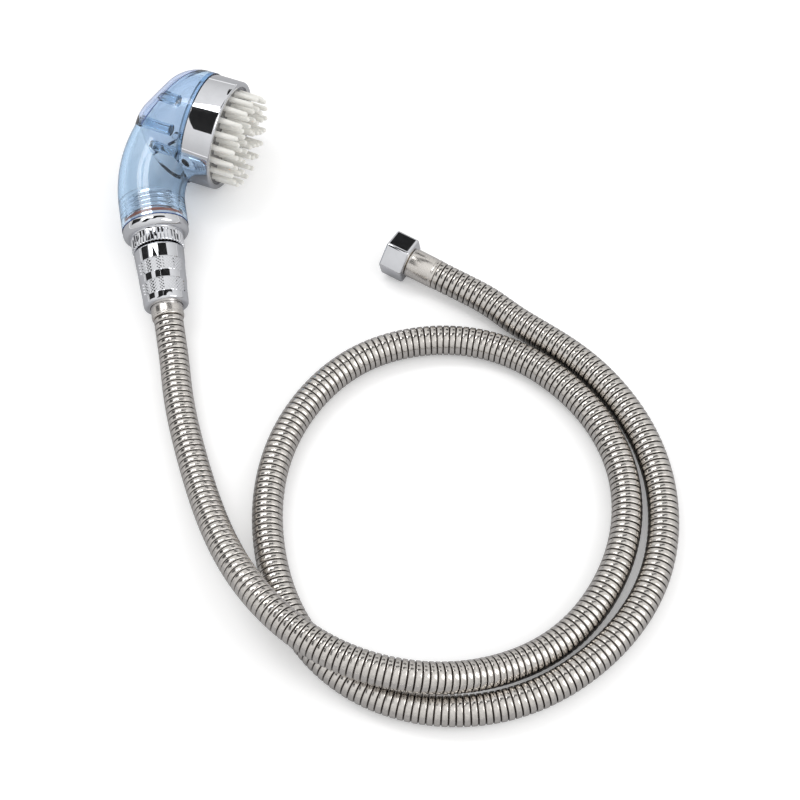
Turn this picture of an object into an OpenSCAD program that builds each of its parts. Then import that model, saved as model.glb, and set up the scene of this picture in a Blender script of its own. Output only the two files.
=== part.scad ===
// Handheld pet bath sprayer: a see-through blue brush head on a short handle, and a ribbed
// steel hose with a knurled cone nut at the handle and a hexagon nut for the tap.
// Lengths are in millimetres and angles in degrees. +Z is up and the brush faces +X. The
// sprayer lies on the plane z = 0, and the origin is under the middle of the handset.

/* [Head] */
// Radius of the body where it meets the head ring
body_r = 33.6; // [33.4:0.2:41]
// Depth of the round back of the head behind the ring
head_depth = 29.2; // [26:0.2:36]
// Rounding radius of the shoulder round the back of the head
shoulder_r = 24; // [20:0.5:26]
// Radius of the bulge where the handle runs into the head
bulge_r = 27.9; // [25:0.1:30]
// Distance of the middle of the bulge behind the ring
bulge_back = 10.5; // [8:0.5:14]
// Distance of the middle of the bulge below the axis of the ring
bulge_drop = 8.9; // [6:0.1:10]
// Wall thickness of the body
wall = 3.4; // [3:0.1:4]

/* [Back cover] */
// Thickness of the back cover, which is let into the body's wall
cover_t = 1.6; // [1.2:0.1:1.8]
// Tilt of the cover's seam from the plane of the ring
cover_tilt = 24; // [18:1:30]
// Distance of the cover's seam from the middle of the brush face
cover_reach = 35; // [33:0.5:38]
// Radius of the cover's locating pegs
peg_r = 1.9; // [1.2:0.1:2.2]
// Wall thickness of the posts that hold the pegs
post_wall = 1.3; // [1:0.1:2]
// Height of the upper pair of pegs above the ring's axis
upper_peg_y = 0.5; // [-2:0.5:4]
// Distance of the upper pair of pegs from the middle plane
upper_peg_z = 24.5; // [20:0.5:25]
// Length of the upper pair of pegs past the seam
upper_peg_l = 8; // [4:0.5:12]
// Height of the lower pair of pegs above the ring's axis
lower_peg_y = -14; // [-16:0.5:-10]
// Distance of the lower pair of pegs from the middle plane
lower_peg_z = 15; // [13:0.5:19]
// Length of the lower pair of pegs past the seam
lower_peg_l = 14; // [8:0.5:18]

/* [Brush face] */
// Outer radius of the head ring
ring_r = 33; // [32:0.5:40]
// Width of the head ring
ring_w = 18; // [15:0.5:22]
// Width of the ring's front lip
lip_w = 3; // [2.6:0.1:4]
// Depth of the face plate behind the front of the ring
face_recess = 1.5; // [1:0.1:2.5]
// Thickness of the mirror face plate
plate_t = 1.5; // [1:0.1:2]
// Thickness of the bristle pad behind the plate
pad_t = 2; // [1.5:0.1:3]
// Thickness of the gasket behind the pad
gasket_t = 1; // [0.8:0.1:1.5]
// Thickness of the water spreader
spreader_t = 2; // [1.5:0.1:3]
// Length of a bristle in front of the face plate
bristle_l = 15; // [8:0.5:20]
// Radius of a bristle at the plate
bristle_r = 1.75; // [1.6:0.05:2.1]
// Radius of a bristle's round tip
bristle_tip_r = 1.5; // [1:0.05:1.6]
// Number of bristles in the outer circle
bristle_count = 20; // [18:1:24]
// Number of bristles that each circle has fewer than the next one out
bristle_step = 5; // [4:1:5]
// Distance between two circles of bristles
circle_pitch = 6.6; // [6:0.1:7]
// Distance of the outer circle of bristles from the lip
bristle_margin = 3.7; // [2.5:0.1:5]
// Radius of a spray hole
spray_r = 0.6; // [0.4:0.1:1]

/* [Handle] */
// Outer radius of the handle
handle_r = 19.5; // [18.5:0.1:21]
// Angle between the handle and the plane of the ring
handle_angle = 30; // [24:1:34]
// Length of the handle's straight part
handle_l = 14; // [12:0.5:22]
// Radius of the curve that runs from the handle into the head
elbow_bend = 54; // [48:1:64]
// Angle that the curve turns through
elbow_turn = 55; // [50:1:60]

/* [Inlet collar] */
// Outer radius of the collar's bowl
collar_r = 19.3; // [18.6:0.1:21]
// Length of the collar's bowl
bowl_l = 6.2; // [5:0.2:8]
// Radius of the fluted neck under the bowl
neck_r = 15.4; // [14:0.1:16.5]
// Length of the fluted neck
flute_l = 8.5; // [6:0.5:12]
// Number of flutes round the neck
flute_count = 44; // [24:2:48]
// Radius of one flute's groove
flute_r = 0.6; // [0.3:0.05:0.7]
// Length of the threaded spigot inside the handle
spigot_l = 19; // [14:0.5:21]
// Outer radius of the spigot's thread
spigot_r = 15.1; // [14.5:0.1:15.5]
// Depth of the spigot's thread
spigot_thread = 1.6; // [0.8:0.1:2]
// Pitch of the spigot's thread
spigot_pitch = 3; // [2:0.25:4]
// Thickness of the collar's O-ring
oring_t = 2.4; // [2:0.1:2.6]
// Radius of the water way through the collar
water_r = 6.5; // [4:0.1:7.5]
// Length of the threaded nipple under the neck
nipple_l = 9.8; // [8:0.2:12]

/* [Connections] */
// Radius of the bore of a half inch pipe thread
thread_r = 10.5; // [10.48:0.01:10.7]
// Clearance round a nipple in a threaded bore
thread_gap = 0.08; // [0.05:0.01:0.1]
// Thickness of a rubber washer
washer_t = 2; // [1.5:0.1:3]
// Thickness of the flange of a hose tail
flange_t = 2; // [1.5:0.1:3]
// Thickness of a slip ring
slip_t = 0.9; // [0.6:0.1:1.5]
// Gap between two pieces that are fixed to each other
part_gap = 0.1; // [0.05:0.01:0.2]
// Gap between two pieces that turn past each other
running_gap = 0.3; // [0.25:0.01:0.4]

/* [Cone nut] */
// Length of the cone nut
cone_l = 36.2; // [32:0.2:44]
// Radius of the cone nut at its wide end
cone_r = 14.6; // [13.6:0.1:16]
// Radius of the cone nut at its narrow end
cone_end_r = 13; // [12.4:0.1:14]
// Rounding of the cone nut's ends
cone_round = 1.8; // [1:0.1:2]
// Length of one knurled band on the cone nut
knurl_l = 7.7; // [5:0.1:10]
// Depth of the seat that a knurled band is cut into
knurl_depth = 0.15; // [0.1:0.05:0.4]
// Distance of the first knurled band from the cone nut's wide end
knurl_start = 10; // [8:0.5:12]
// Distance between the starts of the two knurled bands
knurl_pitch = 13; // [12:0.5:14]

/* [Hexagon nut] */
// Width of the nut across its flats
nut_af = 24; // [23.6:0.1:30]
// Length of the nut
nut_l = 14.5; // [12:0.5:18]
// Length of the chamfer on the nut's corners
nut_chamfer = 1.1; // [0.6:0.1:1.5]
// Angle that the nut is turned round the hose from lying on a flat
nut_turn = 14; // [0:1:30]

/* [Hose] */
// Outer radius of the ribbed steel casing
hose_r = 8.5; // [8.2:0.05:8.8]
// Depth of the grooves between the ribs
groove_depth = 0.8; // [0.4:0.05:0.9]
// Number of ribs along the casing
rib_count = 170; // [120:1:200]
// Outer radius of the upper ferrule
upper_ferrule_r = 9.3; // [9:0.05:9.5]
// Length of the upper ferrule that shows under the cone nut
upper_ferrule_show = 7.5; // [5:0.5:12]
// Outer radius of the lower ferrule
lower_ferrule_r = 8.7; // [8.5:0.05:9.2]
// Length of the lower ferrule
lower_ferrule_l = 17.3; // [15:0.1:22]
// Length of casing held inside a ferrule
crimp_l = 12; // [10:0.5:13]
// Length of the barbed stem of a hose tail
stem_l = 14; // [10:0.5:16]
// Outer radius of the barbed stem of a hose tail
stem_r = 4; // [3:0.1:4.1]
// Radius of the water way through a hose tail
stem_bore_r = 2.9; // [2:0.1:2.9]
// Slope of the hose's axis at the tap nut
tap_tilt = 3; // [0:1:6]

/* [Hidden] */
$fn = 96;
// Sides of the small round shapes, and of the two shapes that are hulled
small_fn = 32;
hull_fn = 44;
// Length by which a cutter runs past what it cuts
past = 1;

// The hose's own route over the table, as the control points of a smooth curve: down from
// the handset, over its own second loop, once round, and up to the tap nut
route = [[59, -138, 9], [85, -174, 8.5], [116, -212, 17], [153, -242, 27.5],
  [198, -257, 26.5], [248, -253, 27], [286, -225, 10], [314, -190, 8.5],
  [323, -139, 8.5], [311, -93, 8.5], [279, -57, 8.5], [231, -37, 8.5],
  [186, -40, 8.5], [142, -68, 8.5], [122, -114, 8.5], [122, -161, 8.5],
  [140, -206, 8.5], [171, -244, 8.5], [215, -264, 8.5], [264, -259, 8.5],
  [305, -234, 8.5], [333, -192, 8.5], [344, -146, 8.5], [334, -98, 8.5],
  [307, -58, 8.5], [265, -29, 9], [220, -19, 8.5]];
// The hose's end at the lower ferrule, and the bearing from there to the tap nut
tap_end = [166.4, -6];
tap_bearing = 171;
// The hose leaves each ferrule straight for its own diameter, and these are the distances
// from there to the control points that hold the curve tangent
straight_l = 2 * hose_r;
upper_lead = 13;
lower_lead = 20;
// Sides of the swept tubes, the farthest apart that two plain rings are, the chords of
// the route's curve for each control point, and the length over which a heading is taken
tube_sides = 8;
ring_pitch = 20;
route_steps = 10;
heading_l = 2.5;

// The handset is drawn flat, with the middle of the brush face at the origin, the ring's
// axis along x and the handle in the xy plane. Then it is rolled about the ring's axis
// until the cone nut lies on the table too.
roll = 9.73;
bulge_x = -ring_w - bulge_back;
bulge_y = -bulge_drop;
curve_step = 0.1;
elbow_end_angle = 180 + handle_angle - elbow_turn;
elbow_x = bulge_x - elbow_bend * cos(elbow_end_angle);
elbow_y = bulge_y - elbow_bend * sin(elbow_end_angle);
handle_x = elbow_x - elbow_bend * cos(handle_angle) + handle_l * sin(handle_angle);
handle_y = elbow_y - elbow_bend * sin(handle_angle) - handle_l * cos(handle_angle);

// Distances along the handle's axis from the end of the body
neck_end = bowl_l + flute_l;
nipple_end = neck_end + nipple_l;
nut_gap = 0.6;
cone_start = neck_end + nut_gap;
cone_end = cone_start + cone_l;
tail_start = nipple_end + washer_t;
slip_start = tail_start + flange_t;
shoulder_start = slip_start + slip_t + part_gap;
ferrule_start = shoulder_start + running_gap;
ferrule_end = cone_end + upper_ferrule_show;
nipple_r = thread_r - thread_gap;
cone_bore_r = upper_ferrule_r + running_gap;

// Distances along the ring's axis from the front of the ring, and sizes across it
plate_back = -face_recess - plate_t;
pad_back = plate_back - pad_t;
neck_front = pad_back - gasket_t;
ledge_w = 1.5;
spreader_back = -ring_w + wall;
ring_t = 2;
screw_r = ring_r - ring_t;
ring_bore_r = screw_r + running_gap;
plate_r = ring_bore_r - part_gap;
neck_bore_r = screw_r - wall;
ring_edge = 1.2;
lip_edge = 0.5;
circle_r = ring_r - lip_w - bristle_margin;
circle_count = 4;
bristle_hole_r = bristle_r + part_gap;

// The collar's seal, the socket in the handle that takes it, and the collar's edges
register_l = 2.5;
land_l = 5.5;
groove_inset = 0.2;
oring_groove_r = spigot_r - groove_inset;
seal_r = oring_groove_r + oring_t;
seal_seat_r = seal_r + part_gap;
socket_r = spigot_r + 2 * part_gap;
bowl_rim = 2.6;
rim_edge = 0.3;
nipple_edge = 0.8;
// The flat crest of the spigot's thread runs between these shares of its pitch
crest_start = 0.4;
crest_end = 0.6;

// The hose's layers: the radii of the eight-sided tubes are those of their corners
flats = cos(180 / tube_sides);
tube_bore_r = (stem_r + part_gap) / flats;
inner_tube_t = 1.9;
tube_out_r = tube_bore_r + inner_tube_t;
casing_bore_r = tube_out_r + running_gap;
casing_root_r = hose_r - groove_depth;
casing_end_r = casing_root_r - part_gap;
ferrule_bore_r = casing_end_r + part_gap;
flange_r = thread_r - running_gap;
washer_r = 9.2;
washer_bore_r = 5.5;
hub_r = 7;
ferrule_wall = 1.5;
// A rib's crest and the groove after it, as shares of the ribs' pitch
rib_crest = 0.35;
rib_groove = 0.85;

// Distances along the hose's axis from the mouth of the lower ferrule
nut_start = lower_ferrule_l + running_gap;
nut_end = nut_start + nut_l;
shoulder_l = 2.4;
nut_floor = nut_start + shoulder_l;
lower_slip_start = nut_floor + part_gap;
lower_tail_start = lower_slip_start + slip_t;
lower_washer_start = lower_tail_start + flange_t;
// The thread starts in front of the washer, past a relief that is wider than the thread
thread_start = lower_washer_start + washer_t;
relief_r = thread_r + running_gap;
nut_ac = nut_af / cos(30);
nut_face_r = nut_af / 2 + running_gap;
tap_z = nut_ac / 2 * cos(30 - nut_turn) * cos(tap_tilt)
  - (nut_start + nut_chamfer) * sin(tap_tilt);

// The origin lies under the middle of the handset's bounding box
front_x = plate_back + plate_t + bristle_l;
back_x = bulge_x - bulge_r;
nipple_low = (handle_y - nipple_end * cos(handle_angle)) * cos(roll)
  - nipple_r * sqrt(1 - pow(cos(handle_angle) * cos(roll), 2));
move_x = -(front_x + back_x) / 2;
move_y = -(body_r + nipple_low) / 2;

// Lays a flat drawing of the handset on the table
module on_table() {
  translate([move_x, move_y, body_r]) rotate([roll, 0, 0]) children();
}

// Turns a shape drawn along +Z to lie along the ring's axis, in the flat drawing
module along_face() {
  rotate([0, 90, 0]) children();
}

// Places a shape drawn along +Z on the handle's axis, in the flat drawing
module along_handle() {
  translate([handle_x, handle_y, 0]) rotate([0, 0, handle_angle]) rotate([90, 0, 0]) children();
}

// Places a shape drawn along +Z on the hose's axis at the tap nut
module along_tap() {
  translate([tap_end.x, tap_end.y, tap_z]) rotate([0, 0, tap_bearing])
    rotate([0, 90 - tap_tilt, 0]) children();
}

// A rod and a tube along Z, from a to b
module rod(r, a, b) {
  translate([0, 0, a]) cylinder(r = r, h = b - a);
}

module tube(r_out, r_in, a, b) {
  difference() {
    rod(r_out, a, b);
    rod(r_in, a - past, b + past);
  }
}

// ---- Head and handle ----

// The turned back of the head, inset by a depth: flat in the middle with a wide shoulder
module turned_back(inset, sides) {
  shoulder_x = -ring_w - head_depth + shoulder_r;
  along_face() rotate_extrude($fn = sides) {
    translate([0, shoulder_x]) square([body_r - inset, -ring_w - shoulder_x]);
    translate([0, shoulder_x - shoulder_r + inset])
      square([body_r - shoulder_r, shoulder_r - inset]);
    translate([body_r - shoulder_r, shoulder_x]) intersection() {
      circle(r = shoulder_r - inset, $fn = sides);
      translate([0, -shoulder_r]) square(shoulder_r);
    }
  }
}

module bulge(inset, sides) {
  translate([bulge_x, bulge_y, 0]) along_face() sphere(r = bulge_r - inset, $fn = sides);
}

// Everything behind a plane square to the ring's axis
module behind(x) {
  reach = 4 * body_r;
  translate([x - reach, -reach / 2, -reach / 2]) cube(reach);
}

// Everything on the cover's side of its seam, moved back by a gap
module cover_side(gap) {
  rotate([0, 0, -cover_tilt]) behind(-cover_reach - gap);
}

module head_outside() {
  intersection() {
    hull() {
      turned_back(0, hull_fn);
      bulge(0, hull_fn);
    }
    behind(-ring_w);
  }
}

module head_inside(inset, front) {
  intersection() {
    union() {
      turned_back(inset, $fn);
      bulge(inset, $fn);
    }
    behind(front);
  }
}

// The handle's outside or inside: a straight part, and a slightly thinner curve that ends
// in the bulge
module handle_form(r) {
  along_handle() rod(r, -handle_l, 0);
  translate([elbow_x, elbow_y, 0]) rotate([0, 0, elbow_end_angle])
    rotate_extrude(angle = elbow_turn) translate([elbow_bend, 0]) circle(r = r - curve_step);
}

// The four peg places, as rods from outside the cover to a distance past the pegs' tips
module peg_pair(y, z, l, r, tip) {
  seam_x = -(cover_reach - y * sin(cover_tilt)) / cos(cover_tilt);
  start_x = seam_x - 4 * cover_t;
  for (side = [-1, 1])
    translate([start_x, y, side * z]) along_face()
      cylinder(r = r, h = seam_x + l + tip - start_x, $fn = small_fn);
}

module pegs(r, tip) {
  peg_pair(upper_peg_y, upper_peg_z, upper_peg_l, r, tip);
  peg_pair(lower_peg_y, lower_peg_z, lower_peg_l, r, tip);
}

module body_outside() {
  difference() {
    head_outside();
    difference() {
      cover_side(0);
      head_inside(cover_t + part_gap, -ring_w);
    }
  }
  difference() {
    handle_form(handle_r);
    along_face() rod(ring_r + part_gap, -ring_w, 0);
  }
  along_face() rod(screw_r, -ring_w - past, neck_front);
}

module body_inside() {
  head_inside(wall, -ring_w - wall);
  handle_form(handle_r - wall);
  along_handle() rod(socket_r, -spigot_l - part_gap, past);
  along_handle() rod(seal_seat_r, -land_l - part_gap, past);
  along_face() rod(neck_bore_r - ledge_w, -ring_w - wall - past, neck_front);
  along_face() rod(neck_bore_r, spreader_back, neck_front + past);
}

module body_shell() {
  color("LightSkyBlue", 0.5) on_table() difference() {
    union() {
      difference() {
        body_outside();
        body_inside();
      }
      intersection() {
        pegs(peg_r + part_gap + post_wall, post_wall);
        head_inside(cover_t + part_gap, -ring_w);
      }
    }
    pegs(peg_r + part_gap, part_gap);
  }
}

module back_cover() {
  color("MediumBlue", 0.7) on_table() {
    difference() {
      intersection() {
        head_outside();
        cover_side(part_gap);
      }
      head_inside(cover_t, -ring_w + past);
      handle_form(handle_r + part_gap);
    }
    intersection() {
      pegs(peg_r, 0);
      head_inside(cover_t / 2, -ring_w);
    }
  }
}

// ---- Brush face ----

module head_ring() {
  corners = [
    [ring_bore_r, -ring_w],
    [ring_r - ring_edge / 2, -ring_w],
    [ring_r, -ring_w + ring_edge / 2],
    for (a = [0:15:90])
      [ring_r - ring_edge * (1 - cos(a)), -ring_edge * (1 - sin(a))],
    [ring_r - lip_w + lip_edge, 0],
    [ring_r - lip_w, -lip_edge],
    [ring_r - lip_w, -face_recess],
    [ring_bore_r, -face_recess]
  ];
  color("Silver") on_table() along_face() rotate_extrude() polygon(corners);
}

// Copies a shape to every bristle's place, or to every spray hole's, drawn along Z
module at_bristles() {
  for (k = [0:circle_count - 1]) {
    count = bristle_count - k * bristle_step;
    for (i = [0:count - 1])
      rotate([0, 0, (i + 0.5 * ((k + 1) % 2)) * 360 / count])
        translate([circle_r - k * circle_pitch, 0, 0]) children();
  }
}

module at_spray_holes() {
  for (k = [0:circle_count - 2]) {
    count = bristle_count - k * bristle_step;
    for (i = [0:count - 1])
      rotate([0, 0, (i + 0.25) * 360 / count])
        translate([circle_r - (k + 0.5) * circle_pitch, 0, 0]) children();
  }
}

module face_disc(r, a, b) {
  difference() {
    rod(r, a, b);
    at_spray_holes() translate([0, 0, a - past])
      cylinder(r = spray_r, h = b - a + 2 * past, $fn = small_fn);
  }
}

module face_plate() {
  color("Gainsboro") on_table() along_face() difference() {
    face_disc(plate_r, plate_back, -face_recess);
    at_bristles() translate([0, 0, plate_back - past])
      cylinder(r = bristle_hole_r, h = plate_t + 2 * past, $fn = small_fn);
  }
}

// A bristle drawn from its root, half way through the pad, to its round tip
module bristle() {
  straight = pad_t / 2 + plate_t + bristle_l - bristle_tip_r;
  cylinder(r1 = bristle_r, r2 = bristle_tip_r, h = straight, $fn = small_fn);
  translate([0, 0, straight]) sphere(r = bristle_tip_r, $fn = small_fn);
}

module bristle_pad() {
  color("WhiteSmoke") on_table() along_face() {
    face_disc(plate_r, pad_back, plate_back);
    at_bristles() translate([0, 0, plate_back - pad_t / 2]) bristle();
  }
}

module face_gasket() {
  color("DimGray") on_table() along_face() tube(plate_r, neck_bore_r, neck_front, pad_back);
}

module water_spreader() {
  color("White") on_table() along_face()
    face_disc(neck_bore_r - part_gap, spreader_back, spreader_back + spreader_t);
}

// ---- Inlet collar ----

module inlet_collar() {
  thread = [
    for (z = [-spigot_l + 1:spigot_pitch:-land_l - spigot_pitch])
      each [
        [spigot_r - spigot_thread, z],
        [spigot_r, z + crest_start * spigot_pitch],
        [spigot_r, z + crest_end * spigot_pitch],
        [spigot_r - spigot_thread, z + spigot_pitch]
      ]
  ];
  bowl = [for (a = [0:10:90])
    [neck_r + (collar_r - neck_r) * cos(a), bowl_rim + (bowl_l - bowl_rim) * sin(a)]];
  corners = concat(
    [[water_r, -spigot_l], [spigot_r - spigot_thread, -spigot_l]],
    thread,
    [
      [spigot_r, -land_l],
      [spigot_r, -register_l - oring_t],
      [oring_groove_r, -register_l - oring_t],
      [oring_groove_r, -register_l],
      [seal_r, -register_l],
      [seal_r, 0],
      [collar_r - rim_edge, 0],
      [collar_r, rim_edge]
    ],
    bowl,
    [
      [neck_r, neck_end],
      [nipple_r, neck_end],
      [nipple_r, nipple_end - nipple_edge],
      [nipple_r - nipple_edge, nipple_end],
      [water_r, nipple_end]
    ]
  );
  color("Silver") on_table() along_handle() difference() {
    rotate_extrude() polygon(corners);
    for (i = [0:flute_count - 1])
      rotate([0, 0, i * 360 / flute_count]) translate([neck_r, 0, bowl_l + flute_r])
        cylinder(r = flute_r, h = flute_l, $fn = small_fn);
  }
}

module collar_oring() {
  color("OrangeRed") on_table() along_handle() translate([0, 0, -register_l - oring_t / 2])
    rotate_extrude() translate([oring_groove_r + oring_t / 2, 0])
      circle(r = oring_t / 2, $fn = small_fn);
}

// ---- Upper end of the hose ----

module cone_nut() {
  slope = (cone_r - cone_end_r) / (cone_l - 2 * cone_round);
  seats = [
    for (k = [0:1])
      let(a = knurl_start + k * knurl_pitch, b = a + knurl_l,
        r_a = cone_r - slope * (a - cone_round), r_b = cone_r - slope * (b - cone_round))
      each [
        [r_a, cone_start + a],
        [r_a - knurl_depth, cone_start + a],
        [r_b - knurl_depth, cone_start + b],
        [r_b, cone_start + b]
      ]
  ];
  corners = concat(
    [[cone_bore_r, cone_end], [cone_bore_r, shoulder_start], [thread_r, shoulder_start],
      [thread_r, cone_start]],
    [for (a = [0:15:90])
      [cone_r - cone_round * (1 - sin(a)), cone_start + cone_round * (1 - cos(a))]],
    seats,
    [for (a = [0:15:90])
      [cone_end_r - cone_round * (1 - cos(a)), cone_end - cone_round * (1 - sin(a))]]
  );
  color("Silver") on_table() along_handle() rotate_extrude() polygon(corners);
}

module inlet_washer() {
  color("DimGray") on_table() along_handle() tube(washer_r, washer_bore_r, nipple_end, tail_start);
}

module upper_slip_ring() {
  color("White") on_table() along_handle()
    tube(flange_r, hub_r + part_gap, slip_start, slip_start + slip_t);
}

// A hose tail drawn from its flange at 0 to its stem, with the hub between them
module tail(hub_l) {
  difference() {
    union() {
      rod(flange_r, 0, flange_t);
      rod(hub_r, flange_t, flange_t + hub_l);
      rod(stem_r, flange_t + hub_l, flange_t + hub_l + stem_l);
    }
    rod(stem_bore_r, -past, flange_t + hub_l + stem_l + past);
  }
}

// A ferrule drawn from its closed end at 0 to its mouth
module ferrule(r_closed, r_mouth, l) {
  difference() {
    cylinder(r1 = r_closed, r2 = r_mouth, h = l);
    rod(ferrule_bore_r, ferrule_wall, l + past);
    rod(hub_r + part_gap, -past, l);
  }
}

module upper_tail() {
  color("Goldenrod") on_table() along_handle() translate([0, 0, tail_start])
    tail(ferrule_start + ferrule_wall - slip_start);
}

module upper_ferrule() {
  color("Silver") on_table() along_handle() translate([0, 0, ferrule_start])
    ferrule(upper_ferrule_r, upper_ferrule_r, ferrule_end - ferrule_start);
}

// ---- Hose ----

function rolled(p) = [
  move_x + p.x,
  move_y + p.y * cos(roll) - p.z * sin(roll),
  body_r + p.y * sin(roll) + p.z * cos(roll)
];

// A point on the handle's axis and one on the axis at the tap nut
function handle_point(t) =
  rolled([handle_x + t * sin(handle_angle), handle_y - t * cos(handle_angle), 0]);
function tap_point(t) = [tap_end.x, tap_end.y, tap_z] + t * [
  cos(tap_tilt) * cos(tap_bearing),
  cos(tap_tilt) * sin(tap_bearing),
  sin(tap_tilt)
];

control = concat(
  [for (i = [-1:1]) handle_point(ferrule_end + straight_l + i * upper_lead)],
  route,
  [for (i = [-1:1]) tap_point(-straight_l + i * lower_lead)]
);

// A point of the uniform cubic B-spline through the control polygon
function curve_point(i, u) = (
  pow(1 - u, 3) * control[i]
  + (3 * pow(u, 3) - 6 * pow(u, 2) + 4) * control[i + 1]
  + (-3 * pow(u, 3) + 3 * pow(u, 2) + 3 * u + 1) * control[i + 2]
  + pow(u, 3) * control[i + 3]
) / 6;

tube_start = ferrule_start + ferrule_wall;
tube_end = lower_ferrule_l - ferrule_wall;
path = concat(
  [handle_point(tube_start)],
  [for (i = [0:len(control) - 4], k = [0:route_steps - 1]) curve_point(i, k / route_steps)],
  [curve_point(len(control) - 4, 1), tap_point(tube_end)]
);
way = [for (i = 0, s = 0; i < len(path);
  s = s + (i + 1 < len(path) ? norm(path[i + 1] - path[i]) : 0), i = i + 1) s];
way_x = [for (i = [0:len(path) - 1]) [way[i], path[i].x]];
way_y = [for (i = [0:len(path) - 1]) [way[i], path[i].y]];
way_z = [for (i = [0:len(path) - 1]) [way[i], path[i].z]];
tube_l = way[len(way) - 1];
casing_start = ferrule_end - crimp_l - tube_start;
casing_stop = tube_l - (tube_end - crimp_l);
rib_start = casing_start + crimp_l;
rib_pitch = (casing_stop - crimp_l - rib_start) / rib_count;

function place(s) = [lookup(s, way_x), lookup(s, way_y), lookup(s, way_z)];
function unit(v) = v / norm(v);
function heading(s) = unit(place(s + heading_l) - place(s - heading_l));

// The corners of a tube's ring at a distance along the path
function ring(s, r) =
  let(middle = place(s), ahead = heading(s), side = unit(cross(ahead, [0, 0, 1])),
    over = cross(side, ahead))
  [for (k = [0:tube_sides - 1])
    let(a = (k + 0.5) * 360 / tube_sides)
    middle + r * (cos(a) * side + sin(a) * over)];

// The triangles of a strip of rings, and of a ring-shaped end
function strip(first, count, inner) = [
  for (i = [0:count - 2], k = [0:tube_sides - 1])
    let(a = first + i * tube_sides + k, b = first + i * tube_sides + (k + 1) % tube_sides,
      c = a + tube_sides, d = b + tube_sides)
    each inner ? [[a, c, b], [b, c, d]] : [[a, b, c], [b, d, c]]
];
function end_face(outer, inner, last) = [
  for (k = [0:tube_sides - 1])
    let(a = outer + k, b = outer + (k + 1) % tube_sides,
      c = inner + k, d = inner + (k + 1) % tube_sides)
    each last ? [[a, b, c], [b, d, c]] : [[a, c, b], [b, c, d]]
];

// A tube along the path, from lists of its rings outside and inside as [distance, radius]
module swept_tube(outside, inside) {
  inner_first = len(outside) * tube_sides;
  inner_last = inner_first + (len(inside) - 1) * tube_sides;
  polyhedron(
    points = [for (q = concat(outside, inside)) each ring(q[0], q[1])],
    faces = concat(
      strip(0, len(outside), false),
      strip(inner_first, len(inside), true),
      end_face(0, inner_first, false),
      end_face(inner_first - tube_sides, inner_last, true)
    )
  );
}

// The plain rings of the casing's length, which its bore and the tube in it share
function plain_rings(r) =
  let(length = casing_stop - casing_start, count = ceil(length / ring_pitch))
  [for (i = [0:count]) [casing_start + length * i / count, r]];

module hose_casing() {
  ribs = [for (i = [0:rib_count - 1]) each [
    [rib_start + (i + rib_crest) * rib_pitch, hose_r],
    [rib_start + (i + rib_groove) * rib_pitch, casing_root_r]
  ]];
  outside = concat(
    [[casing_start, casing_end_r], [rib_start, casing_end_r]],
    ribs,
    [[casing_stop - crimp_l, casing_end_r], [casing_stop, casing_end_r]]
  );
  color("Gray") swept_tube(outside, plain_rings(casing_bore_r));
}

module inner_tube() {
  color("Black") swept_tube(
    concat([[0, tube_out_r]], plain_rings(tube_out_r), [[tube_l, tube_out_r]]),
    concat([[0, tube_bore_r]], plain_rings(tube_bore_r), [[tube_l, tube_bore_r]])
  );
}

// ---- Lower end of the hose ----

module lower_ferrule() {
  color("Silver") along_tap() translate([0, 0, lower_ferrule_l]) rotate([180, 0, 0])
    ferrule(lower_ferrule_r, hose_r, lower_ferrule_l);
}

module lower_tail() {
  color("Goldenrod") along_tap() translate([0, 0, lower_tail_start + flange_t])
    rotate([180, 0, 0]) tail(lower_tail_start - lower_ferrule_l + ferrule_wall);
}

module lower_slip_ring() {
  color("White") along_tap()
    tube(flange_r, hub_r + part_gap, lower_slip_start, lower_tail_start);
}

module hex_nut() {
  blank = [
    [0, nut_start],
    [nut_face_r, nut_start],
    [nut_ac / 2, nut_start + nut_chamfer],
    [nut_ac / 2, nut_end - nut_chamfer],
    [nut_face_r, nut_end],
    [0, nut_end]
  ];
  color("Silver") along_tap() difference() {
    intersection() {
      translate([0, 0, nut_start]) rotate([0, 0, 30 + nut_turn])
        cylinder(r = nut_ac / 2, h = nut_l, $fn = 6);
      rotate_extrude() polygon(blank);
    }
    rod(thread_r, nut_floor + past, nut_end + past);
    rod(relief_r, nut_floor, thread_start);
    rod(hub_r + part_gap, nut_start - past, nut_end);
  }
}

module end_washer() {
  color("DimGray") along_tap()
    tube(washer_r, washer_bore_r, lower_washer_start, lower_washer_start + washer_t);
}

// The hose's length between its ferrules, and the least gap between its two turns
turn_apart = 60;
turn_gap = min([for (i = [1:len(path) - 2], j = [i + 1:len(path) - 2])
  if (way[j] - way[i] > turn_apart) norm(path[i] - path[j])]) - 2 * hose_r;
echo(hose_length = casing_stop - casing_start - 2 * crimp_l, turn_gap = turn_gap);
echo(tap_thread = tap_point((thread_start + nut_end) / 2), tap_aim = tap_point(1) - tap_point(0),
  thread_length = nut_end - thread_start);
echo(cone_middle = handle_point((cone_start + cone_end) / 2),
  handle_aim = handle_point(1) - handle_point(0));

body_shell();
back_cover();
head_ring();
face_plate();
bristle_pad();
face_gasket();
water_spreader();
inlet_collar();
collar_oring();
inlet_washer();
cone_nut();
upper_slip_ring();
upper_tail();
upper_ferrule();
hose_casing();
inner_tube();
lower_ferrule();
lower_tail();
lower_slip_ring();
hex_nut();
end_washer();
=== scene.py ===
import math
import random

import bpy
from bpy.props import FloatProperty, FloatVectorProperty, IntProperty, PointerProperty
from bpy.types import Operator, Panel, PropertyGroup
from mathutils import Matrix, Quaternion, Vector


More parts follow.
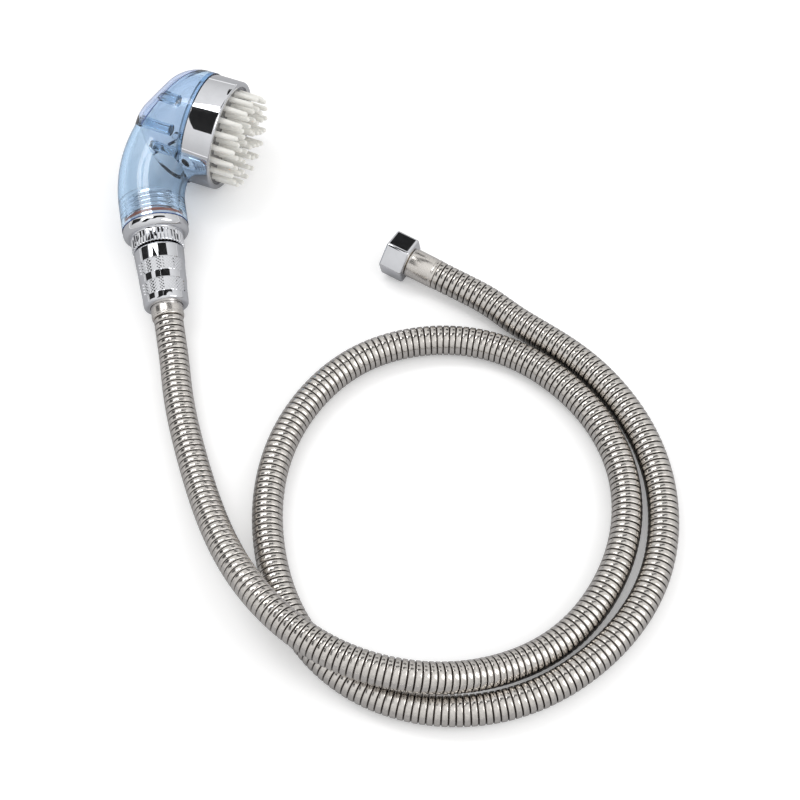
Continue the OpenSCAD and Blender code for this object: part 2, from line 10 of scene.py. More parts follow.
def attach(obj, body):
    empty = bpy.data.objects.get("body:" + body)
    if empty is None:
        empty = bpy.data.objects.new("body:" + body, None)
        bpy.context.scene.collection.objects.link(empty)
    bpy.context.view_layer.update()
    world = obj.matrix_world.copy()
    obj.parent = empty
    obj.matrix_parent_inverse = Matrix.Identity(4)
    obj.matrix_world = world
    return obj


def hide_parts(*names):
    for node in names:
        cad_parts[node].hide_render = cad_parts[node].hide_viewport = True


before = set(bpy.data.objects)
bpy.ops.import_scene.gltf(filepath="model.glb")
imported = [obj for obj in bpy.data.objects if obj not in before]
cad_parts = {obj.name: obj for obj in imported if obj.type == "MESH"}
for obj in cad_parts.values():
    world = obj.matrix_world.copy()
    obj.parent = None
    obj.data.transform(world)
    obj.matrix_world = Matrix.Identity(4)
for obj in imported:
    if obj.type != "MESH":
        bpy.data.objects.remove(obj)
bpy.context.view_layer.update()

bl_info = {
    "name": "Pet Bath Sprayer",
    "version": (1, 0, 0),
    "blender": (4, 5, 0),
    "location": "View3D > Sidebar > Sprayer",
    "description": "Makes a handheld pet bath sprayer with a see-through brush head and a steel hose",
    "category": "Object",
}

# Everything is in metres. The flat drawing of the handset has the middle of the brush face
# at its origin, the ring's axis along x and the handle in the xy plane.
MM = 0.001
TURN = 2 * math.pi

# Places in the flat drawing, in millimetres
HANDLE_END = (-19.324, -70.845)
ELBOW = (20.441, -31.721)
ELBOW_RADIUS = 54
BULGE = (-28.5, -8.9)
RING_BACK = -18
BEHIND_RING = -18.5
SEAM_DEPTH = 35
SEAM_TILT = math.radians(24)

ROLL = math.radians(9.73)
HANDLE_ANGLE = math.radians(30)
FLAT = Matrix.Translation((21.45 * MM, 31.284 * MM, 33.6 * MM)) @ Matrix.Rotation(ROLL, 4, "X")
ALONG_FACE = Matrix.Rotation(math.pi / 2, 4, "Y")
ALONG_HANDLE = (
    Matrix.Translation((HANDLE_END[0] * MM, HANDLE_END[1] * MM, 0))
    @ Matrix.Rotation(HANDLE_ANGLE, 4, "Z")
    @ Matrix.Rotation(math.pi / 2, 4, "X")
)
FACE = FLAT @ ALONG_FACE
HANDLE = FLAT @ ALONG_HANDLE
TAP = (
    Matrix.Translation((166.4 * MM, -6 * MM, 12.33 * MM))
    @ Matrix.Rotation(math.radians(171), 4, "Z")
    @ Matrix.Rotation(math.radians(87), 4, "Y")
)

# The hose's route over the table, in millimetres: down from the handset, over its own
# second loop, once round, and up to the tap nut
ROUTE = [
    (59, -138, 9), (85, -174, 8.5), (116, -212, 17), (153, -242, 27.5), (198, -257, 26.5),
    (248, -253, 27), (286, -225, 10), (314, -190, 8.5), (323, -139, 8.5), (311, -93, 8.5),
    (279, -57, 8.5), (231, -37, 8.5), (186, -40, 8.5), (142, -68, 8.5), (122, -114, 8.5),
    (122, -161, 8.5), (140, -206, 8.5), (171, -244, 8.5), (215, -264, 8.5), (264, -259, 8.5),
    (305, -234, 8.5), (333, -192, 8.5), (344, -146, 8.5), (334, -98, 8.5), (307, -58, 8.5),
    (265, -29, 9), (220, -19, 8.5),
]


# ---- Sizes and colours ----

def length(name, text, value):
    return FloatProperty(
        name=name, description=text, default=value, subtype="DISTANCE", unit="LENGTH"
    )


def colour(name, text, value):
    return FloatVectorProperty(
        name=name, description=text, default=value, subtype="COLOR", min=0, max=1
    )


class SPRAYER_PG_head(PropertyGroup):
    """Sizes of the head and the handle"""
    body_radius: length("Head radius", "Radius of the body at the ring", 33.6 * MM)
    head_depth: length("Head depth", "Depth of the round back of the head", 29.2 * MM)
    shoulder: length("Shoulder", "Rounding of the back of the head", 24 * MM)
    bulge_radius: length("Bulge", "Radius of the bulge over the handle", 27.9 * MM)
    wall: length("Wall", "Wall thickness of the body", 3.4 * MM)
    cover: length("Cover", "Thickness of the back cover", 1.6 * MM)
    handle_radius: length("Handle", "Outer radius of the handle", 19.5 * MM)
    handle_flare: length("Flare", "How much the handle widens into the head", 3.6 * MM)
    thread: length("Thread", "Depth of the thread moulded into the handle", 0.7 * MM)
    ring_radius: length("Ring", "Outer radius of the head ring", 33 * MM)
    ring_width: length("Ring width", "Width of the head ring", 18 * MM)


class SPRAYER_PG_brush(PropertyGroup):
    """Sizes of the bristles"""
    count: IntProperty(name="Bristles", description="Bristles in the outer circle", default=20, min=6)
    step: IntProperty(name="Step", description="Bristles fewer in each circle", default=5, min=1)
    circles: IntProperty(name="Circles", description="Circles of bristles", default=4, min=1)
    outer: length("Outer circle", "Radius of the outer circle of bristles", 26.3 * MM)
    pitch: length("Pitch", "Distance between two circles", 6.6 * MM)
    radius: length("Radius", "Radius of a bristle at its root", 1.75 * MM)
    tip: length("Tip", "Radius of a bristle's round tip", 1.5 * MM)
    reach: length("Length", "Length of a bristle in front of the plate", 15 * MM)


class SPRAYER_PG_hose(PropertyGroup):
    """Sizes of the hose and its ends"""
    radius: length("Radius", "Outer radius of the ribbed casing", 8.5 * MM)
    groove: length("Groove", "Depth between two ribs", 0.8 * MM)
    ribs: IntProperty(name="Ribs", description="Ribs along the hose", default=370, min=100)
    nut_flats: length("Nut", "Width of the tap nut across its flats", 24 * MM)


class SPRAYER_PG_finish(PropertyGroup):
    """Colours of the sprayer's materials"""
    clear_blue: colour("Clear blue", "Plastic of the head and handle", (0.17, 0.50, 0.77))
    dark_blue: colour("Dark blue", "Plastic of the back cover", (0.22, 0.42, 0.82))
    # Painted shade: an opaque deep blue for thin lines that stand in for the dark the clear plastic
    # shows at the handle's end and at the cover's seam
    edge: colour("Edge", "Painted deep blue lines at the handle's end and the cover's seam", (0.05, 0.13, 0.52))
    chrome: colour("Chrome", "Plated parts", (0.80, 0.81, 0.84))
    steel: colour("Steel", "Ribs of the hose", (0.78, 0.745, 0.705))
    # Painted shade: the near black given to the grooves between the hose's ribs
    groove: colour("Groove", "Painted shade in the grooves of the hose", (0.06, 0.05, 0.045))
    silicone: colour("Silicone", "Bristles", (0.86, 0.85, 0.81))


class SPRAYER_PG_studio(PropertyGroup):
    """Camera and light"""
    lens: FloatProperty(name="Lens", description="Focal length", default=85.21, unit="CAMERA")
    key: FloatProperty(name="Key", description="Power of the soft light", default=4.5, unit="POWER")
    world: FloatProperty(name="Surround", description="Strength of the light all round", default=0.85)


# ---- Work in edit mode ----

def to_object():
    if bpy.context.mode != "OBJECT":
        bpy.ops.object.mode_set(mode="OBJECT")


def unpick():
    to_object()
    bpy.ops.object.select_all(action="DESELECT")


def pick(obj):
    unpick()
    obj.select_set(True)
    bpy.context.view_layer.objects.active = obj


def to_edit(obj, kind="VERT"):
    pick(obj)
    bpy.ops.object.mode_set(mode="EDIT")
    bpy.ops.mesh.select_mode(type=kind)
    bpy.ops.mesh.select_all(action="SELECT")


def choose(obj, wanted):
    """Selects the vertices for which wanted(place) holds, and stays in edit mode."""
    to_edit(obj)
    bpy.ops.mesh.select_all(action="DESELECT")
    bpy.ops.object.mode_set(mode="OBJECT")
    for v in obj.data.vertices:
        v.select = bool(wanted(v.co))
    bpy.ops.object.mode_set(mode="EDIT")


def named(name):
    obj = bpy.context.view_layer.objects.active
    obj.name = name
    obj.data.name = name
    return obj


def tidy(gap=1e-6):
    """Merges what coincides and turns the faces outwards, in edit mode."""
    bpy.ops.mesh.select_all(action="SELECT")
    bpy.ops.mesh.remove_doubles(threshold=gap)
    bpy.ops.mesh.normals_make_consistent(inside=False)
    to_object()


def start_point(name, place):
    """One vertex to extrude from, left in edit mode."""
    unpick()
    bpy.ops.mesh.primitive_plane_add(size=MM)
    obj = named(name)
    to_edit(obj)
    bpy.ops.mesh.merge(type="CENTER")
    bpy.ops.transform.translate(value=place)
    return obj


def arc(r, z, radius, start, end, steps):
    """Points of a turned outline round (r, z), between two angles in degrees."""
    out = []
    for i in range(steps + 1):
        a = math.radians(start + (end - start) * i / steps)
        out.append((r + radius * math.cos(a), z + radius * math.sin(a)))
    return out


def turned(name, outline, steps=96):
    """A turned solid about Z from its outline of (radius, height), in millimetres."""
    points = [Vector((r * MM, 0, z * MM)) for r, z in outline]
    obj = start_point(name, points[0])
    for a, b in zip(points, points[1:]):
        if (b - a).length > 1e-7:
            bpy.ops.mesh.extrude_region_move(TRANSFORM_OT_translate={"value": b - a})
    bpy.ops.mesh.select_all(action="SELECT")
    bpy.ops.mesh.spin(steps=steps, angle=TURN, center=(0, 0, 0), axis=(0, 0, 1))
    tidy()
    return obj


def placed(obj, matrix):
    pick(obj)
    obj.matrix_world = matrix
    bpy.ops.object.transform_apply(location=True, rotation=True, scale=True)
    return obj


def rod(name, radius, start, end, steps=64):
    """A round bar along Z between two heights, in millimetres."""
    unpick()
    bpy.ops.mesh.primitive_cylinder_add(
        vertices=steps, radius=radius * MM, depth=(end - start) * MM,
        location=(0, 0, (start + end) / 2 * MM),
    )
    return placed(named(name), bpy.context.view_layer.objects.active.matrix_world.copy())


def joined(name, objs):
    pick(objs[0])
    for o in objs:
        o.select_set(True)
    bpy.ops.object.join()
    return named(name)


def twin(obj):
    pick(obj)
    bpy.ops.object.duplicate(linked=False)
    return bpy.context.view_layer.objects.active


def combine(obj, other, how):
    """Adds other to obj, cuts it away or keeps what they share, and uses other up."""
    pick(obj)
    mod = obj.modifiers.new("Shape", "BOOLEAN")
    mod.operation, mod.solver, mod.object = how, "EXACT", other
    bpy.ops.object.modifier_apply(modifier=mod.name)
    bpy.data.objects.remove(other, do_unlink=True)
    if len(obj.data.polygons) < 6:
        raise RuntimeError("nothing is left of " + obj.name)
    to_edit(obj)
    bpy.ops.mesh.remove_doubles(threshold=3e-6)
    to_object()
    return obj


def soften(obj, width, segments=2, angle=30):
    """Rounds the sharp edges."""
    pick(obj)
    mod = obj.modifiers.new("Edges", "BEVEL")
    mod.width, mod.segments = width * MM, segments
    mod.limit_method, mod.angle_limit = "ANGLE", math.radians(angle)
    mod.harden_normals = False
    bpy.ops.object.modifier_apply(modifier=mod.name)
    return obj


def cut_flat(obj, point, normal):
    """Cuts off what lies on the normal's side of a plane, and closes the cut."""
    to_edit(obj)
    bpy.ops.mesh.bisect(
        plane_co=point, plane_no=normal, use_fill=True, clear_outer=True, threshold=1e-7
    )
    tidy()
    return obj


def painted(obj, *materials):
    """Gives a piece these materials and no others."""
    obj.data.materials.clear()
    for mat in materials:
        obj.data.materials.append(mat)


def finished(obj, body, nodes, materials, angle=35):
    """Shades a piece, gives it its materials, and sets it on its body in its nodes' place."""
    pick(obj)
    bpy.ops.object.shade_smooth_by_angle(angle=math.radians(angle))
    # A piece joined from painted parts has its materials already
    if [m.name for m in obj.data.materials if m] != [m.name for m in materials]:
        painted(obj, *materials)
    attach(obj, body)
    if nodes:
        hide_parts(*nodes)
    return obj


# ---- Materials ----

def finish(name, **values):
    """A material whose even values are set on the shader itself."""
    mat = bpy.data.materials.get(name)
    if mat:
        return mat, None
    mat = bpy.data.materials.new(name)
    mat.use_nodes = True
    shader = mat.node_tree.nodes["Principled BSDF"]
    for key, value in values.items():
        shader.inputs[key.replace("_", " ")].default_value = value
    return mat, shader


def grain(mat, scale, detail=4.0):
    """Fine noise over the piece, from its own coordinates."""
    tree = mat.node_tree
    where = tree.nodes.new("ShaderNodeTexCoord")
    noise = tree.nodes.new("ShaderNodeTexNoise")
    noise.inputs["Scale"].default_value = scale
    noise.inputs["Detail"].default_value = detail
    tree.links.new(where.outputs["Object"], noise.inputs["Vector"])
    return noise.outputs["Fac"]


def between(mat, source, low, high, start=0.3, end=0.7):
    """Turns a noise into a value between low and high."""
    node = mat.node_tree.nodes.new("ShaderNodeMapRange")
    node.inputs["From Min"].default_value = start
    node.inputs["From Max"].default_value = end
    node.inputs["To Min"].default_value = low
    node.inputs["To Max"].default_value = high
    mat.node_tree.links.new(source, node.inputs["Value"])
    return node.outputs["Result"]


def blended(mat, source, first, second):
    """Mixes two colours by a value."""
    node = mat.node_tree.nodes.new("ShaderNodeMix")
    node.data_type = "RGBA"
    for socket, value in ((node.inputs[6], first), (node.inputs[7], second)):
        if isinstance(value, bpy.types.NodeSocket):
            mat.node_tree.links.new(value, socket)
        else:
            socket.default_value = (*value, 1)
    mat.node_tree.links.new(source, node.inputs[0])
    return node.outputs[2]


def relief(mat, shader, source, strength, depth):
    node = mat.node_tree.nodes.new("ShaderNodeBump")
    node.inputs["Strength"].default_value = strength
    node.inputs["Distance"].default_value = depth
    mat.node_tree.links.new(source, node.inputs["Height"])
    mat.node_tree.links.new(node.outputs["Normal"], shader.inputs["Normal"])


def wire(mat, shader, socket, source):
    mat.node_tree.links.new(source, shader.inputs[socket])


def clear_plastic(name, tint, density, ior, low, high):
    """See-through plastic that is deeper in colour where the light goes further through it."""
    mat, shader = finish(name, Transmission_Weight=1.0, IOR=ior)
    if shader:
        flow = grain(mat, 22, 2)
        clear, cloudy = (0.97, 0.985, 1.0), (0.93, 0.96, 0.99)
        wire(mat, shader, "Base Color", blended(mat, between(mat, flow, 0, 1), clear, cloudy))
        wire(mat, shader, "Roughness", between(mat, grain(mat, 900), low, high))
        relief(mat, shader, flow, 0.12, 0.4 * MM)
        depth = mat.node_tree.nodes.new("ShaderNodeVolumeAbsorption")
        depth.inputs["Color"].default_value = (*tint, 1)
        depth.inputs["Density"].default_value = density
        output = mat.node_tree.nodes["Material Output"]
        mat.node_tree.links.new(depth.outputs["Volume"], output.inputs["Volume"])
    return mat


def plated(name, tint, low, high, wave=0.03):
    mat, shader = finish(name, Metallic=1.0)
    if shader:
        fine = grain(mat, 2600, 6)
        dim = tuple(c * 0.94 for c in tint)
        wire(mat, shader, "Base Color", blended(mat, between(mat, grain(mat, 160), 0, 1), tint, dim))
        wire(mat, shader, "Roughness", between(mat, fine, low, high))
        relief(mat, shader, grain(mat, 240, 3), wave, 0.05 * MM)
    return mat


def mirror_chrome(colours):
    return plated("mirror chrome", tuple(colours.chrome), 0.015, 0.05)


def rubbery(name, tint, spread, rough, bleed=0.0):
    mat, shader = finish(
        name, Subsurface_Weight=bleed, Subsurface_Scale=0.8 * MM, Subsurface_Radius=(1, 0.95, 0.9)
    )
    if shader:
        dark = tuple(c * spread for c in tint)
        wire(mat, shader, "Base Color", blended(mat, between(mat, grain(mat, 320), 0, 1), tint, dark))
        wire(mat, shader, "Roughness", between(mat, grain(mat, 1800), rough - 0.08, rough + 0.08))
        relief(mat, shader, grain(mat, 5200, 6), 0.25, 0.02 * MM)
    return mat


def ribbed_steel(colours):
    mat, shader = finish("ribbed strip steel", Metallic=1.0)
    if shader:
        tree = mat.node_tree
        depth = tree.nodes.new("ShaderNodeAttribute")
        depth.attribute_name = "groove"
        streak = grain(mat, 700, 5)
        light, dull = tuple(colours.steel), tuple(c * 0.82 for c in colours.steel)
        metal = blended(mat, between(mat, streak, 0, 1), light, dull)
        # The grooves are darkened by their depth: painted shade between the ribs
        shade = between(mat, depth.outputs["Fac"], 0, 1, 0.15, 0.9)
        wire(mat, shader, "Base Color", blended(mat, shade, metal, tuple(colours.groove)))
        wire(mat, shader, "Roughness", between(mat, grain(mat, 1500, 6), 0.12, 0.27))
        relief(mat, shader, grain(mat, 420, 4), 0.10, 0.06 * MM)
    return mat


# ---- Forms of the head and the handle, in the flat drawing ----

def head_form(name, sizes, inset, front):
    """The head's back, inset by a depth in millimetres and cut flat at a distance behind the face."""
    r = sizes.body_radius / MM - inset
    round_r = sizes.shoulder / MM
    back = -(sizes.ring_width + sizes.head_depth) / MM
    corner = sizes.body_radius / MM - round_r
    outline = [(0, back + inset)]
    outline += arc(corner, back + round_r, round_r - inset, -90, 0, 20)
    outline += [(r, front + 2), (0, front + 2)]
    back_form = placed(turned(name, outline), ALONG_FACE)
    unpick()
    bpy.ops.mesh.primitive_uv_sphere_add(
        segments=96, ring_count=48, radius=sizes.bulge_radius - inset * MM,
        location=(BULGE[0] * MM, BULGE[1] * MM, 0),
    )
    bulge = named("bulge")
    form = joined(name, [back_form, bulge])
    to_edit(form)
    bpy.ops.mesh.convex_hull()
    tidy()
    return cut_flat(form, (front * MM, 0, 0), (1, 0, 0))


def handle_form(name, sizes, inset, steps=26):
    """The handle from its open end through its curve, widening into the head."""
    centre = Vector((ELBOW[0] * MM, ELBOW[1] * MM, 0))
    radius = sizes.handle_radius - inset * MM
    unpick()
    bpy.ops.mesh.primitive_circle_add(vertices=96, radius=radius)
    form = placed(named(name), ALONG_HANDLE)
    to_edit(form)
    straight = ALONG_HANDLE.to_3x3() @ Vector((0, 0, -14 * MM))
    bpy.ops.mesh.extrude_region_move(TRANSFORM_OT_translate={"value": straight})
    start, sweep = math.radians(210), math.radians(-55)
    inner = ELBOW_RADIUS * MM - radius
    last = 1.0
    for i in range(1, steps + 1):
        share = i / steps
        bpy.ops.mesh.spin(steps=1, angle=-sweep / steps, center=centre, axis=(0, 0, 1))
        a = start + sweep * share
        # It widens away from the inside of the curve, which stays round
        still = centre + Vector((inner * math.cos(a), inner * math.sin(a), 0))
        grown = 1 + sizes.handle_flare / radius * share ** 1.5
        by = grown / last
        last = grown
        bpy.ops.transform.resize(value=(by, by, by), center_override=still)
    bpy.ops.mesh.select_all(action="DESELECT")
    bpy.ops.mesh.select_non_manifold()
    bpy.ops.mesh.edge_face_add()
    tidy()
    return form


def seam(gap=0.0):
    """A point on the cover's seam and its direction away from the face."""
    out = Vector((-math.cos(SEAM_TILT), math.sin(SEAM_TILT), 0))
    return out * (SEAM_DEPTH + gap) * MM, out


# Where the cover's pegs stand across the head, and how far they reach past the seam
PEGS = [(0.5, 24.5, 8), (0.5, -24.5, 8), (-14, 15, 14), (-14, -15, 14)]


def peg(name, y, z, reach, radius, tip, behind=6.4):
    """A round bar through the seam at a peg's place."""
    start = -(SEAM_DEPTH - y * math.sin(SEAM_TILT)) / math.cos(SEAM_TILT)
    bar = rod(name, radius, start - behind, start + reach + tip, 40)
    return placed(bar, Matrix.Translation((0, y * MM, z * MM)) @ ALONG_FACE)


class SPRAYER_OT_body(Operator):
    """Make the see-through body"""
    bl_idname = "sprayer.body"
    bl_label = "Body"

    def execute(self, context):
        sizes = context.scene.sprayer_head
        wall, cover = sizes.wall / MM, sizes.cover / MM
        point, out = seam()
        body = cut_flat(head_form("body_shell_looks", sizes, 0, RING_BACK), point, out)
        combine(body, head_form("under_cover", sizes, cover + 0.1, BEHIND_RING), "UNION")
        combine(body, handle_form("handle", sizes, 0), "UNION")
        combine(body, placed(rod("neck", 31, -19, -6, 128), ALONG_FACE), "UNION")
        # All that is hollow is put together first and cut once
        hollow = head_form("hollow", sizes, wall, -21.4)
        combine(hollow, handle_form("bore", sizes, wall), "UNION")
        way = [(0, -24), (26.1, -24), (26.1, -14.6), (27.6, -14.6), (27.6, -5), (0, -5)]
        combine(hollow, placed(turned("way", way, 128), ALONG_FACE), "UNION")
        # The thread for the collar, and the wider mouth that takes its seal
        bore, mouth, first, pitch = 15.6, 17.4, -20, 2.8
        deep = bore + sizes.thread / MM
        thread = [(0, first - 0.6), (bore, first - 0.6), (bore, first)]
        for k in range(5):
            z = first + pitch * k
            thread += [(deep, z + 1.0), (deep, z + 1.5), (bore, z + 2.5), (bore, z + pitch)]
        thread += [(mouth, -5.6), (mouth, 1), (0, 1)]
        combine(hollow, placed(turned("thread", thread, 96), ALONG_HANDLE), "UNION")
        combine(body, hollow, "DIFFERENCE")
        peg_hole = 2.0
        for y, z, reach in PEGS:
            post = peg("post", y, z, reach, 3.3, 1.3)
            combine(post, peg("bore", y, z, reach, peg_hole, 0.1), "DIFFERENCE")
            combine(post, head_form("inside", sizes, cover + 0.4, BEHIND_RING), "INTERSECT")
            combine(body, post, "UNION")
        for y, z, reach in PEGS:
            combine(body, peg("bore", y, z, reach, peg_hole, 0.1), "DIFFERENCE")
        # The deep blue line round the handle's end is painted shade: an opaque ring that stands in
        # for the dark the thick clear wall shows there
        inner, outer, low, high = 17.7, 19.2, -0.45, -0.15
        line = [(inner, low), (outer, low), (outer, high), (inner, high), (inner, low)]
        rim = placed(turned("rim", line, 96), ALONG_HANDLE)
        colours = context.scene.sprayer_finish
        plastic = clear_plastic("clear blue plastic", tuple(colours.clear_blue), 100, 1.45, 0.0, 0.05)
        edge = rubbery("deep blue painted edge line", tuple(colours.edge), 0.8, 0.3)
        painted(body, plastic)
        painted(rim, edge)
        body = placed(joined("body_shell_looks", [body, rim]), FLAT)
        finished(body, "handset", ["body_shell"], [plastic, edge], 24)
        return {"FINISHED"}


class SPRAYER_OT_cover(Operator):
    """Make the dark blue back cover and its pegs"""
    bl_idname = "sprayer.cover"
    bl_label = "Back cover"

    def execute(self, context):
        sizes = context.scene.sprayer_head
        cover = sizes.cover / MM
        point, out = seam(0.12)
        cap = cut_flat(head_form("back_cover_looks", sizes, 0, RING_BACK), point, -out)
        combine(cap, head_form("inside", sizes, cover, BEHIND_RING), "DIFFERENCE")
        combine(cap, handle_form("handle", sizes, -0.1), "DIFFERENCE")
        pegs = []
        for y, z, reach in PEGS:
            bar = peg("peg", y, z, reach, 1.9, 0)
            combine(bar, head_form("inside", sizes, cover - 0.2, BEHIND_RING), "INTERSECT")
            pegs.append(bar)
        colours = context.scene.sprayer_finish
        plastic = clear_plastic("dark blue plastic", tuple(colours.dark_blue), 140, 1.45, 0.0, 0.06)
        pale = clear_plastic("pale blue pegs", tuple(colours.clear_blue), 60, 1.45, 0.0, 0.05)
        # The deep blue line that the seam shows, inside the cover's edge, is painted shade: a thin
        # opaque shell in place of the dark the clear plastic shows at the seam
        near, _ = seam(0.3)
        far, _ = seam(0.9)
        line = head_form("painted seam line", sizes, 0.3, RING_BACK)
        line = cut_flat(cut_flat(line, near, -out), far, out)
        combine(line, head_form("inside", sizes, cover - 0.3, BEHIND_RING), "DIFFERENCE")
        combine(line, handle_form("handle", sizes, -0.5), "DIFFERENCE")
        edge = rubbery("deep blue painted edge line", tuple(colours.edge), 0.8, 0.3)
        painted(cap, plastic)
        painted(line, edge)
        for bar in pegs:
            painted(bar, pale)
        cap = placed(joined("back_cover_looks", [cap] + pegs + [line]), FLAT)
        finished(cap, "handset", ["back_cover"], [plastic, pale, edge], 30)
        return {"FINISHED"}


class SPRAYER_OT_ring(Operator):
    """Make the mirror ring round the brush face"""
    bl_idname = "sprayer.ring"
    bl_label = "Head ring"

    def execute(self, context):
        outline = [(31.3, RING_BACK), (32.4, RING_BACK)]
        outline += arc(32.4, -17.4, 0.6, -90, 0, 4)
        outline += arc(31.8, -1.2, 1.2, 0, 90, 8)
        outline += [(30.9, 0), (30.5, -0.06), (30.15, -0.25), (30, -0.5), (30, -1.5), (31.3, -1.5)]
        outline += [(31.3, RING_BACK)]
        ring = placed(turned("head_ring_looks", outline, 144), FACE)
        chrome = mirror_chrome(context.scene.sprayer_finish)
        finished(ring, "handset", ["head_ring"], [chrome])
        return {"FINISHED"}


class SPRAYER_OT_bristles(Operator):
    """Make the soft bristles on their pad"""
    bl_idname = "sprayer.bristles"
    bl_label = "Bristles"

    def execute(self, context):
        sizes = context.scene.sprayer_brush
        root, tip = sizes.radius / MM, sizes.tip / MM
        top = sizes.reach / MM - 1.5
        outline = [(0, -4), (root, -4), (root, -1.5)]
        outline += [(root + (tip - root) * s, -1.5 + (top - tip + 1.5) * s) for s in (0.3, 0.65)]
        outline += arc(0, top - tip, tip, 0, 90, 4)
        one = turned("bristle", outline, 16)
        wobble = random.Random(7)
        tufts = []
        for k in range(sizes.circles):
            count = sizes.count - k * sizes.step
            for i in range(count):
                a = (i + 0.5 * ((k + 1) % 2)) * TURN / count
                out = sizes.outer - k * sizes.pitch
                lean = Matrix.Rotation(math.radians(wobble.uniform(-1.6, 1.6)), 4, "X")
                lean @= Matrix.Rotation(math.radians(wobble.uniform(-1.6, 1.6)), 4, "Y")
                tall = Matrix.Diagonal((1, 1, wobble.uniform(0.97, 1.0), 1))
                at = Vector((out * math.cos(a), out * math.sin(a), 0))
                tufts.append(placed(twin(one), Matrix.Translation(at) @ lean @ tall))
        bpy.data.objects.remove(one, do_unlink=True)
        pad = turned("pad", [(0, -5), (30.6, -5), (31.2, -4.6), (31.2, -3.4), (30.8, -3), (0, -3)])
        brush = placed(joined("bristle_pad_looks", [pad] + tufts), FACE)
        tint = tuple(context.scene.sprayer_finish.silicone)
        soft = rubbery("soft silicone", tint, 0.95, 0.46, 0.35)
        finished(brush, "handset", ["bristle_pad"], [soft])
        return {"FINISHED"}


class SPRAYER_OT_collar(Operator):
    """Make the inlet collar with its bowl, flutes and threads"""
    bl_idname = "sprayer.collar"
    bl_label = "Inlet collar"
    flutes = 44

    def execute(self, context):
        outline = [(6.5, -19), (13.5, -19)]
        for k in range(4):
            z = 3 * k - 18
            outline += [(13.5, z), (15.0, z + 1.15), (15.1, z + 1.35)]
            outline += [(15.1, z + 1.65), (15.0, z + 1.85)]
        outline += [(13.5, -6), (15.1, -5.5), (15.1, -4.9), (14.9, -4.9), (14.9, -2.5), (17.3, -2.5)]
        outline += [(17.3, 0), (18.9, 0), (19.2, 0.12), (19.3, 0.4)]
        outline += arc(15.4, 2.6, 3.9, 0, 90, 12)[:-1]
        outline = [(r, min(z, 6.2)) for r, z in outline]
        outline += [(15.55, 6.2), (15.4, 6.5), (15.4, 7.2), (15.4, 8.2)]
        outline += [(15.4, 13.9), (15.1, 14.5), (14.8, 14.7)]
        outline += [(10.42, 14.7), (10.42, 23.7), (9.62, 24.5), (6.5, 24.5), (6.5, -19)]
        collar = turned("inlet_collar_looks", outline, self.flutes * 4)
        part = TURN / (self.flutes * 4)

        def in_groove(v):
            r = math.hypot(v.x, v.y) / MM
            column = round(math.atan2(v.y, v.x) / part)
            return column % 4 == 0 and 7.5 < v.z / MM < 14.8 and r > 14.5

        choose(collar, in_groove)
        bpy.ops.transform.resize(value=(0.95, 0.95, 1), center_override=(0, 0, 0))
        to_object()
        placed(collar, HANDLE)
        chrome = mirror_chrome(context.scene.sprayer_finish)
        finished(collar, "handset", ["inlet_collar"], [chrome], 28)
        return {"FINISHED"}


class SPRAYER_OT_cone_nut(Operator):
    """Make the cone nut and its two knurled bands"""
    bl_idname = "sprayer.cone_nut"
    bl_label = "Cone nut"
    columns = 88
    rows = 8

    def execute(self, context):
        start, end = 15.3, 51.5
        bands = [(25.3, 33.0), (38.3, 46.0)]

        def skin(z):
            return 14.6 - 1.6 * (z - start - 1.8) / 32.6

        outline = [(9.6, end), (9.6, 29.5), (10.5, 29.5), (10.5, start)]
        outline += arc(12.8, start + 1.8, 1.8, -90, 0, 9)
        for low, high in bands:
            outline += [(skin(low - 0.5), low - 0.5), (skin(low) - 0.25, low - 0.2)]
            for k in range(self.rows + 1):
                z = low + (high - low) * k / self.rows
                outline.append((skin(z) - 0.25, z))
            outline += [(skin(high) - 0.25, high + 0.2), (skin(high + 0.5), high + 0.5)]
        outline += arc(11.2, end - 1.8, 1.8, 0, 90, 9)
        outline.append((9.6, end))
        nut = turned("cone_nut_looks", outline, self.columns)
        part = TURN / self.columns

        def on_peak(v):
            z, r = v.z / MM, math.hypot(v.x, v.y) / MM
            column = round(math.atan2(v.y, v.x) / part)
            for low, high in bands:
                row = (z - low) / (high - low) * self.rows
                if -0.2 < row < self.rows + 0.2 and abs(row - round(row)) < 0.02 and r > 12:
                    return (column + round(row)) % 2 == 0
            return False

        choose(nut, on_peak)
        bpy.ops.transform.resize(value=(1.016, 1.016, 1), center_override=(0, 0, 0))
        # The valleys are the shorter diagonals, so this leaves a small pyramid round each peak
        choose(nut, lambda v: any(low - 0.1 < v.z / MM < high + 0.1 for low, high in bands)
               and math.hypot(v.x, v.y) > 12 * MM)
        bpy.ops.mesh.quads_convert_to_tris(quad_method="SHORTEST_DIAGONAL")
        to_object()
        placed(nut, HANDLE)
        chrome = mirror_chrome(context.scene.sprayer_finish)
        finished(nut, "upper_nut", ["cone_nut"], [chrome], 14)
        return {"FINISHED"}


